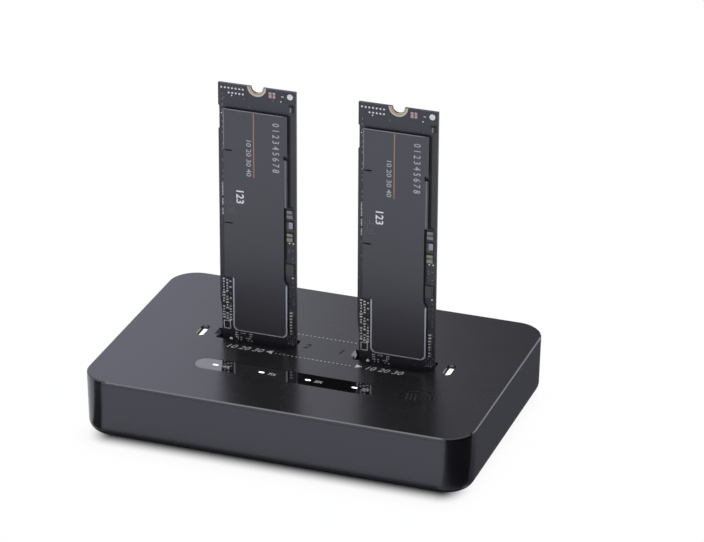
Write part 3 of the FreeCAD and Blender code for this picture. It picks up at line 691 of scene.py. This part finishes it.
class DOCK_OT_bay_marks(bpy.types.Operator):
    """Print plain slanted numbers beside the arrows and a number for each bay"""
    bl_idname = "dock.bay_marks"
    bl_label = "Bay marks"

    def execute(self, context):
        sizes, tones = context.scene.dock_print, context.scene.dock_colours
        words = bmesh.new()
        numbers = bmesh.new()
        for start in (-24.6 * MM, 15.3 * MM):
            add_text(words, "10 20 30", sizes.bay_words_height,
                     on_lid(start, sizes.guide_front + 0.2 * MM), sizes.print_thickness,
                     sizes.bay_words_width, 0.35, 0.004)
        for x, y, digit in ((-4.6 * MM, 2.2 * MM, "2"), (5.3 * MM, 2.1 * MM, "1")):
            add_text(numbers, digit, sizes.bay_number_height, on_lid(x, y),
                     sizes.print_thickness, 0.0, 0.2)
        # The words' ink is made lighter than the printing colour: painted light against the cards'
        # shadow on the lid.
        piece("bay_words", words, printed("word_ink_with_painted_light", tinted(tones.printing, 1.5)), "dock")
        piece("bay_numbers", numbers, printed("bay_number_ink", tones.dim_print, 0.7, 0.05),
              "dock")
        return {"FINISHED"}


class DOCK_OT_clone_mark(bpy.types.Operator):
    """Print the clone mark's strokes, and paint a fine arc on the button as a highlight along its
    edge
    """
    bl_idname = "dock.clone_mark"
    bl_label = "Clone mark"

    def execute(self, context):
        sizes, tones = context.scene.dock_print, context.scene.dock_colours
        mark = bmesh.new()
        half = sizes.icon_height / 2
        lean = -0.18 * half
        for index in (-1, 0, 1):
            left = -1.5 * MM + index * sizes.icon_pitch
            right = left + sizes.icon_stroke
            points = ((left - lean, -half), (right - lean, -half), (right + lean, half),
                      (left + lean, half))
            add_outline(mark, points, on_lid(BUTTON.x, BUTTON.y, BUTTON_HIGH.z),
                        sizes.print_thickness)
        # The arc is a painted highlight along the button's edge, in the same faint ink as the
        # strokes.
        add_band(mark, on_lid(BUTTON.x - 0.2 * MM, BUTTON.y - 0.6 * MM, BUTTON_HIGH.z), 4.1 * MM,
                 4.3 * MM, sizes.print_thickness, math.radians(5), math.radians(125))
        piece("clone_button_mark", mark, printed("button_ink_and_highlight", tones.mark), "clone_press")
        return {"FINISHED"}


def notch_ring(sizes, side, *shares):
    """Bands of the half ring round the holding notch, on both faces."""
    ring = bmesh.new()
    for back in (False, True):
        for share in shares:
            inner, outer = (sizes.notch_radius + part * sizes.ring_width for part in share)
            add_band(ring, on_card(side, NOTCH, 0.0, back), inner, outer, sizes.plating)
    return ring


def card_fingers(sizes, side):
    """Plated fingers on both faces of the tongue, none beside the key notches."""
    low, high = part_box(side + "_drive_board")
    z = low.z + FINGER_FOOT + sizes.finger_length / 2
    shape = Matrix.Diagonal((sizes.finger_width, sizes.plating, sizes.finger_length, 1.0))
    fingers = bmesh.new()
    for count, y in ((38, low.y - sizes.plating / 2), (37, high.y + sizes.plating / 2)):
        for index in range(count):
            offset = (index - (count - 1) / 2) * sizes.finger_pitch
            if min(abs(offset - key) for key in KEYS) >= KEY_ROOM:
                place = Matrix.Translation(((low.x + high.x) / 2 + offset, y, z))
                bmesh.ops.create_cube(fingers, size=1.0, matrix=place @ shape)
    return fingers


def plated_holes(sizes, side):
    """Rows of plated holes and test points along the card's ends."""
    holes = bmesh.new()
    rows = ((0.95, 1.02, 1.2, 7, 1.0, False), (3.05, 1.0, 2.55, 5, 1.0, False),
            (3.9, 0.0, 3.3, 1, 0.7, False), (17.8, 0.0, 3.15, 1, 0.7, False),
            (0.9, 0.0, 8.6, 1, 0.6, False), (19.7, 0.65, 73.8, 3, 0.75, False),
            (20.1, 1.1, 43.8, 2, 0.8, False), (21.0, 0.0, 54.0, 1, 1.0, False),
            (3.0, 2.0, 5.0, 9, 1.0, True), (2.0, 2.2, 72.0, 9, 1.0, True))
    for first, pitch, down, count, share, back in rows:
        for index in range(count):
            place = on_card(side, (first + index * pitch) * MM, down * MM, back)
            add_disc(holes, place, sizes.dot_radius * share, sizes.plating)
    add_disc(holes, on_card(side, 20.35 * MM, 1.55 * MM), 0.85 * MM, sizes.plating)
    return holes


class DOCK_OT_card_plating(bpy.types.Operator):
    """Plate the cards' fingers, notch rings, holes and pads"""
    bl_idname = "dock.card_plating"
    bl_label = "Card plating"

    def execute(self, context):
        sizes, tones = context.scene.card_detail, context.scene.dock_colours
        cream = brushed("ring_plating", tones.ring, 0.4)
        tan = brushed("ring_groove", tinted(tones.ring, 0.42), 0.5)
        gold = brushed("gold_plating", tones.gold, 0.25)
        tin = brushed("tinned_copper", tones.silver, 0.3)
        bare = brushed("bare_copper_pads", tones.bare, 0.35)
        spans = [(across, down) for across in ((14.4, 15.2), (15.5, 16.2))
                 for down in ((0.85, 1.5), (1.62, 2.5))]
        for side in SIDES:
            pads = patches(on_card(side), sizes.plating / MM, *spans, ((17.9, 18.6), (1.5, 1.9)))
            card_pieces(side, (
                ("notch_ring", notch_ring(sizes, side, (0.0, 0.24), (0.42, 1.0)), cream,
                 "contact_metal"),
                ("notch_groove", notch_ring(sizes, side, (0.24, 0.42)), tan, "contact_metal"),
                ("card_fingers", card_fingers(sizes, side), gold, "contact_metal"),
                ("plated_holes", plated_holes(sizes, side), tin, "card_parts"),
                ("bare_pads", pads, bare, "card_parts")))
        return {"FINISHED"}


def label_rim(sizes, plane):
    """A raised line round the label's lower end, open at the top and thin below."""
    top = plane.translation.z - 56.4 * MM
    floor = top - 15.0 * MM
    rim = bmesh.new()
    points = ((4.0, 56.0), (4.0, 71.9), (19.7, 71.9), (19.7, 56.0))
    corners = [rim.verts.new(plane @ Vector((u * MM, -d * MM, 0))) for u, d in points]
    rim.faces.new(corners)
    bmesh.ops.bevel(rim, geom=[corners[1], corners[2]], offset=1.5 * MM, affect="VERTICES",
                    segments=6, profile=0.5, material=-1)
    band = bmesh.ops.inset_region(rim, faces=rim.faces[:], thickness=sizes.rim_width,
                                  use_even_offset=True, use_boundary=True)["faces"]
    inner = [face for face in rim.faces if face not in band]
    low = {vert for face in inner for vert in face.verts if vert.co.z < floor}
    bmesh.ops.translate(rim, verts=list(low), vec=(0, 0, -0.2 * MM))
    bmesh.ops.delete(rim, geom=inner, context="FACES_ONLY")
    ends = [face for face in band if face.is_valid and face.calc_center_median().z > top]
    bmesh.ops.delete(rim, geom=ends, context="FACES")
    thicken(rim, rim.faces[:], outward(plane) * 0.06 * MM)
    return rim


def label_numbers(plane, *rows):
    """Rows of plain numbers that read down the label."""
    numbers = bmesh.new()
    for words, across, down, height, span, weight in rows:
        downward = (plane @ Matrix.Translation((across * MM, -down * MM, 0))
                    @ Matrix.Rotation(math.radians(-90), 4, "Z"))
        add_text(numbers, words, height * MM, downward, 0.015 * MM, span * MM, 0.0, weight)
    return numbers


class DOCK_OT_label_trim(bpy.types.Operator):
    """Add the labels' bright rim, painted highlight lines along their edges, painted shade strips
    beside them, copper stripe and plain pale numbers
    """
    bl_idname = "dock.label_trim"
    bl_label = "Label trim"

    def execute(self, context):
        sizes, tones = context.scene.card_detail, context.scene.dock_colours
        rim = brushed("label_rim", (0.56, 0.59, 0.68), 0.5, 0.85, 3000.0)
        stripe = brushed("stripe_foil", tones.copper, 0.35, 0.6, 3000.0)
        ink = brushed("label_silver", tones.label_print, 0.4, 0.9, 3000.0)
        fine_ink = brushed("fine_label_silver", tinted(tones.label_print, 0.6), 0.4, 0.9, 3000.0)
        # A painted highlight tone for the label's edge lines, and a painted shade black for the
        # strips beside the label.
        edge = brushed("painted_label_highlight", (0.26, 0.26, 0.29), 0.4, 0.8, 3000.0)
        gap = packaged("painted_gap_shade", (0.004, 0.004, 0.004), 0.6)
        half = sizes.stripe_width / MM / 2
        for side in SIDES:
            face = on_label(side)
            card_pieces(side, (
                ("label_rim", label_rim(sizes, face), rim, "port_steel"),
                ("label_stripe", patches(face, 0.02, ((10.3 - half, 10.3 + half), (7.25, 25.9))),
                 stripe, "capacitor_tan"),
                ("label_numbers", label_numbers(face, ("123", 6.2, 29.6, 2.1, 4.3, 0.02)), ink,
                 "card_parts"),
                ("label_fine_print", label_numbers(
                    face, ("0 1 2 3 4 5 6 7 8", 16.5, 9.2, 1.9, 14.2, 0.004),
                    ("10 20 30 40", 8.8, 14.8, 1.35, 10.8, 0.004)), fine_ink, "card_parts"),
                # Painted highlights: lighter lines along the label's top, left and right edges.
                ("label_highlight_lines", patches(face, 0.02, ((1.64, 18.6), (6.92, 7.14)),
                                        ((1.64, 1.86), (7.4, 18.4)),
                                        ((19.15, 19.35), (19.5, 33.2))), edge, "card_label"),
                # Painted shade: black strips on the board beside the label stand in for the
                # shadowed gap round it.
                ("label_shade_strips", patches(on_card(side), 0.02, ((19.6, 20.45), (6.9, 33.3)),
                                      ((18.5, 19.35), (33.3, 49.0)), ((18.5, 19.1), (49.0, 55.0)),
                                      ((18.6, 21.2), (33.0, 33.5))), gap, "chip_black")))
        return {"FINISHED"}


def tinned_ends(plane):
    """The brightest tinned ends beside the label, a solder ball and a package's frame."""
    chance = random.Random(7)
    ends = patches(plane, 0.62, ((1.2, 1.4), (69.6, 71.7)), ((2.95, 3.15), (69.6, 71.7)),
                   ((1.2, 3.15), (69.4, 69.58)), ((1.2, 3.15), (71.62, 71.8)))
    bmesh.ops.create_icosphere(ends, subdivisions=2, radius=0.5 * MM,
                               matrix=plane @ Matrix.Translation((3.07 * MM, -75.1 * MM, 0)))
    for column, across in enumerate((1.22, 2.2, 3.16)):
        for row in range(15):
            if chance.random() < 0.74:
                down = 57.0 + row * 0.83 + column * 0.28 + 0.12 * chance.random()
                half = 0.16 + 0.24 * chance.random()
                add_mark(ends, plane, across, down, half, 0.16, PART_RISE)
    for row in range(8):
        half = 0.18 + 0.2 * chance.random()
        add_mark(ends, plane, 20.6, 64.4 + row * 0.88, half, 0.13, PART_RISE)
    for row in range(24):
        if chance.random() < 0.6:
            add_mark(ends, plane, 1.025, 28.8 + row * 0.4, 0.175, 0.09, PAD_RISE)
    for row in range(4):
        for column in range(10):
            if chance.random() < 0.55:
                half = 0.1 + 0.14 * chance.random()
                add_mark(ends, plane, 4.5 + column * 0.5, 72.92 + row * 0.68, half, 0.14, 0.08)
    return ends


def dull_ends(plane, label):
    """Greyer ends and pads in partly filled rows, and faint marks on the label."""
    chance = random.Random(3)
    ends = patches(plane, PART_RISE, ((19.5, 21.0), (34.1, 34.9)), ((19.5, 21.2), (35.5, 36.3)))
    add_patch(ends, plane, (20.3, 20.7), (4.5, 5.8), 0.06)
    fields = (
        (plane, (1.15,), 4.6, 1.6, 16, 0.7, 0.1, 0.3, PAD_RISE),
        (label, (2.3, 2.95, 3.6, 4.25, 4.9), 33.3, 0.7, 6, 0.6, 0.08, 0.12, 0.02),
        (plane, (20.0, 21.0), 45.9, 0.6, 7, 0.6, 0.2, 0.1, PAD_RISE),
        (plane, (20.2, 21.2), 55.2, 0.75, 14, 0.55, 0.14, 0.12, PAD_RISE),
        (plane, (19.5, 20.2, 20.9, 21.5), 71.6, 0.75, 3, 0.6, 0.1, 0.22, PAD_RISE))
    for face, columns, first, pitch, rows, share, half_width, half_height, rise in fields:
        for row in range(rows):
            for across in columns:
                if chance.random() < share:
                    add_mark(ends, face, across, first + row * pitch, half_width,
                             half_height, rise)
    return ends


def small_cases(plane):
    """Dark packages, and a flat dark disc as painted shade for the open hole near the card's foot.
    """
    cases = patches(plane, 0.3, ((20.0, 21.4), (4.0, 4.4)), ((20.8, 21.35), (4.0, 5.9)))
    add_patch(cases, plane, (1.4, 2.95), (69.6, 71.6), 0.64)
    # The open hole is a flat dark disc: painted shade in place of the hole's depth.
    middle = plane @ Matrix.Translation((2.3 * MM, -73.7 * MM, 0))
    hole = add_disc(cases, middle, 0.66 * MM, 0.03 * MM, 16)
    bmesh.ops.scale(cases, vec=(1.0, 1.0, 0.65), verts=hole,
                    space=Matrix.Translation(-middle.translation))
    return cases


class DOCK_OT_card_fittings(bpy.types.Operator):
    """Add the smallest parts and pads along the cards' edges"""
    bl_idname = "dock.card_fittings"
    bl_label = "Card fittings"

    def execute(self, context):
        tones = context.scene.dock_colours
        tin = brushed("tinned_ends", tinted(tones.silver, 1.2), 0.55, 0.85)
        dull = brushed("dull_ends", tinted(tones.silver, 0.42), 0.5, 0.7)
        warm = brushed("warm_ends", (0.34, 0.325, 0.245), 0.4, 0.5)
        violet = brushed("pale_part", (0.40, 0.385, 0.48), 0.45, 0.6)
        dark = packaged("small_package", (0.012, 0.012, 0.013))
        grey = packaged("grey_package", (0.075, 0.075, 0.08))
        for side in SIDES:
            plane = on_card(side)
            card_pieces(side, (
                ("tinned_ends", tinned_ends(plane), tin, "card_parts"),
                ("dull_ends", dull_ends(plane, on_label(side)), dull, "card_parts"),
                ("warm_ends", patches(plane, 0.48, ((19.5, 21.1), (40.8, 41.6)),
                                      ((19.5, 21.1), (42.1, 43.1))), warm, "card_parts"),
                ("pale_part", patches(plane, PART_RISE, ((20.1, 21.2), (37.4, 39.3))), violet,
                 "card_parts"),
                ("grey_package", patches(plane, 0.63, ((19.4, 20.9), (50.0, 53.1))), grey,
                 "chip_black"),
                ("small_cases", small_cases(plane), dark, "chip_black")))
        return {"FINISHED"}


def one_tone(*tone):
    """Stops of a board that has one tone all over."""
    return ((0.0, tone), (1.0, tone))


def stage_object(name, form, material):
    """Turns a bmesh into an object with one material; the studio's pieces are made with it."""
    made = new_object(name, form, material)
    return made


def add_floor():
    """A plain white table top, which keeps the dock's shadow most along its front."""
    ground = bmesh.new()
    bmesh.ops.create_grid(ground, x_segments=1, y_segments=1, size=3.0)
    graph = Graph("table_top")
    x, y = graph.axes()[:2]
    end, front, corner = CAD_BOX[1].x, CAD_BOX[0].y, 8 * MM
    past_x = (x.distance_to(0.0) - (end - corner)).math("MAXIMUM", 0.0)
    past_y = (y.distance_to(0.0) + (front + corner)).math("MAXIMUM", 0.0)
    outside = (past_x * past_x + past_y * past_y).math("SQRT") - corner
    near = graph.ramp(outside, 3.0 * MM, -4.3 * MM)
    beside = graph.ramp(y, front + 12 * MM, front + 5 * MM)
    between = graph.ramp(x.distance_to(0.0), end, end - corner)
    # The shade mask is painted: where it is low, camera rays see white emission, which paints the
    # lamp's real shadow out beside and behind the dock and keeps it along the front.
    shade = near * beside * between * 0.94 + 0.06
    path = graph.value("ShaderNodeLightPath", output="Is Camera Ray")
    matt = graph.node("ShaderNodeBsdfDiffuse", None, {"Color": (0.90, 0.92, 0.97, 1.0)})
    white = graph.node("ShaderNodeEmission", None, {"Strength": 1.0})
    both = graph.blend(path * (1 - shade), matt.outputs[0], white.outputs[0])
    stage_object("floor", ground, graph.close(both)).location.z = -0.02 * MM


def add_world(scene, settings):
    """White to the camera and in reflections, dimmer for matt surfaces."""
    graph = Graph("studio", "World")
    path = graph.node("ShaderNodeLightPath").outputs
    camera, glossy, clear = (Value(graph, path["Is " + kind + " Ray"])
                             for kind in ("Camera", "Glossy", "Transmission"))
    plain, white = (graph.node("ShaderNodeBackground", None, {
        "Color": (*WHITE, 1.0), "Strength": strength}).outputs[0]
                    for strength in (settings.fill, 1.0))
    seen = (camera + glossy + clear).math("MINIMUM", 1.0)
    scene.world = graph.close(graph.blend(seen, plain, white))


def add_board(name, corners, stops, strength=1.0):
    """A flat board that only shows in reflections, shaded from left to right."""
    sheet = bmesh.new()
    sheet.faces.new([sheet.verts.new(corner) for corner in corners])
    low = min(corner[0] for corner in corners)
    high = max(corner[0] for corner in corners)
    graph = Graph(name)
    run = (graph.axes()[0] - low) * (1 / (high - low))
    tone = graph.node("ShaderNodeValToRGB", {"stops": stops}, {"Fac": run}).outputs[0]
    glow = graph.node("ShaderNodeEmission", None, {"Color": tone, "Strength": strength})
    made = stage_object(name, sheet, graph.close(glow.outputs[0]))
    for ray in ("camera", "diffuse", "transmission", "shadow", "volume_scatter"):
        setattr(made, "visible_" + ray, False)


def upright(left, right, y, low, high):
    """Corners of an upright board."""
    return ((left, y, low), (right, y, low), (right, y, high), (left, y, high))


def add_boards():
    """Boards for the gloss to show: behind the dock, overhead and on the table at its ends."""
    left, right = -0.6, 0.8
    shades = ((left, (0.82, 0.84, 1.0)), (-0.234, (0.78, 0.80, 0.97)),
              (-0.182, (0.68, 0.69, 0.78)), (-0.148, (0.47, 0.47, 0.54)),
              (-0.094, (0.18, 0.18, 0.205)), (0.04, (0.155, 0.155, 0.18)),
              (0.09, (0.04, 0.04, 0.045)), (right, (0.04, 0.04, 0.045)))
    stops = [((x - left) / (right - left), tone) for x, tone in shades]
    add_board("shaded_board", upright(left, right, 0.45, 0.0, 0.9), stops, 1.55)
    add_board("dark_card", upright(-0.174, -0.146, 0.449, 0.262, 0.277), one_tone(0.0, 0.0, 0.0))
    glow = ((0.0, (0.9, 0.92, 1.0)), (0.08, (0.9, 0.92, 1.0)), (0.16, (0.66, 0.66, 0.72)),
            (1.0, (0.66, 0.66, 0.72)))
    add_board("bright_panel", upright(0.177, 0.6, 0.448, 0.08, 0.42), glow, 2.7)
    add_board("overhead_panel", ((-0.36, -0.42, 0.6), (0.02, -0.42, 0.6), (0.02, -0.16, 0.6),
                                 (-0.36, -0.16, 0.6)), one_tone(1.0, 1.0, 0.92), 3.3)
    front = CAD_BOX[0].y / MM
    shaded = ((0.0, (0.7, 0.7, 0.76)), (0.05, (0.36, 0.36, 0.4)), (0.14, (0.07, 0.07, 0.075)),
              (0.24, (0.008, 0.008, 0.01)), (1.0, (0.008, 0.008, 0.01)))
    add_sheet("corner_sheet", 1, shaded, (-8.5, front - 1), (4.5, front - 38),
              (60, front - 38), (60, front + 55), (1, front + 5))
    grey = ((0.0, (0.16, 0.16, 0.19)), (0.4, (0.16, 0.16, 0.19)), (0.56, (0.34, 0.34, 0.38)),
            (1.0, (0.42, 0.42, 0.46)))
    add_sheet("side_sheet", 1, grey, (0.5, front + 5), (60, front + 55), (60, 130),
              (-20, 130), (-5, 1 - front))
    soft = ((0.0, (0.42, 0.43, 0.48)), (0.35, (0.2, 0.2, 0.225)), (0.6, (0.09, 0.09, 0.1)),
            (1.0, (0.08, 0.08, 0.09)))
    add_sheet("left_sheet", -1, soft, (-4, front - 1), (3, front + 4), (50, front - 14),
              (28, front - 40))


def add_sheet(name, way, stops, *places):
    """A sheet just above the table, from places past the dock's right or left end."""
    add_board(name, [(way * (CAD_BOX[1].x + past * MM), y * MM, 0.05 * MM)
                     for past, y in places], stops)


def add_key_light(scene, settings):
    """One broad overhead light, which doesn't show in reflections."""
    lamp = bpy.data.lights.new("overhead_light", "SUN")
    lamp.energy = settings.sun
    lamp.angle = LAMP_WIDTH
    made = bpy.data.objects.new("overhead_light", lamp)
    made.rotation_euler = LAMP_WAY.to_track_quat("Z", "Y").to_euler()
    made.visible_glossy = False
    scene.collection.objects.link(made)


def add_camera(scene, settings):
    """A long lens at the dock's front right, a little above."""
    turn, rise, tilt = settings.azimuth, settings.elevation, settings.roll
    back = Vector((math.sin(turn) * math.cos(rise), -math.cos(turn) * math.cos(rise),
                   math.sin(rise)))
    right = (-back).cross(Vector((0, 0, 1))).normalized()
    up = right.cross(-back)
    across = math.cos(tilt) * right + math.sin(tilt) * up
    upward = -math.sin(tilt) * right + math.cos(tilt) * up
    lens = bpy.data.cameras.new("camera")
    lens.lens = settings.lens
    lens.sensor_width = 36.0
    lens.clip_start = 0.05
    made = bpy.data.objects.new("camera", lens)
    basis = Matrix((across, upward, back)).transposed().to_4x4()
    made.matrix_world = Matrix.Translation(CAMERA_AIM + back * CAMERA_REACH) @ basis
    scene.collection.objects.link(made)
    scene.camera = made


class DOCK_OT_studio(bpy.types.Operator):
    """Set the floor, the light and the camera"""
    bl_idname = "dock.studio"
    bl_label = "Studio"

    def execute(self, context):
        settings = context.scene.dock_studio
        scene = context.scene
        scene.view_settings.view_transform = "Standard"
        add_floor()
        add_world(scene, settings)
        add_boards()
        add_key_light(scene, settings)
        add_camera(scene, settings)
        return {"FINISHED"}


class DOCK_PT_panel(bpy.types.Panel):
    """Lists the dock's steps"""
    bl_idname = "DOCK_PT_panel"
    bl_label = "Card copying dock"
    bl_space_type = "VIEW_3D"
    bl_region_type = "UI"
    bl_category = "Card dock"

    def draw(self, context):
        for operator in STEPS:
            self.layout.operator(operator.bl_idname)


GROUPS = {"dock_print": DockPrint, "card_detail": CardDetail, "dock_colours": DockColours,
          "dock_studio": StudioSettings}
STEPS = (DOCK_OT_finishes, DOCK_OT_progress_lights, DOCK_OT_guide_lines, DOCK_OT_bay_marks,
         DOCK_OT_clone_mark, DOCK_OT_card_plating, DOCK_OT_label_trim, DOCK_OT_card_fittings,
         DOCK_OT_studio)


def register():
    for name, group in GROUPS.items():
        bpy.utils.register_class(group)
        setattr(bpy.types.Scene, name, bpy.props.PointerProperty(type=group))
    for step in STEPS:
        bpy.utils.register_class(step)
    bpy.utils.register_class(DOCK_PT_panel)


def unregister():
    bpy.utils.unregister_class(DOCK_PT_panel)
    for step in reversed(STEPS):
        bpy.utils.unregister_class(step)
    for name, group in reversed(GROUPS.items()):
        delattr(bpy.types.Scene, name)
        bpy.utils.unregister_class(group)


def main():
    """Builds the looks and the studio."""
    register()
    for step in STEPS:
        getattr(bpy.ops.dock, step.bl_idname.split(".")[1])()


if __name__ == "__main__":
    main()
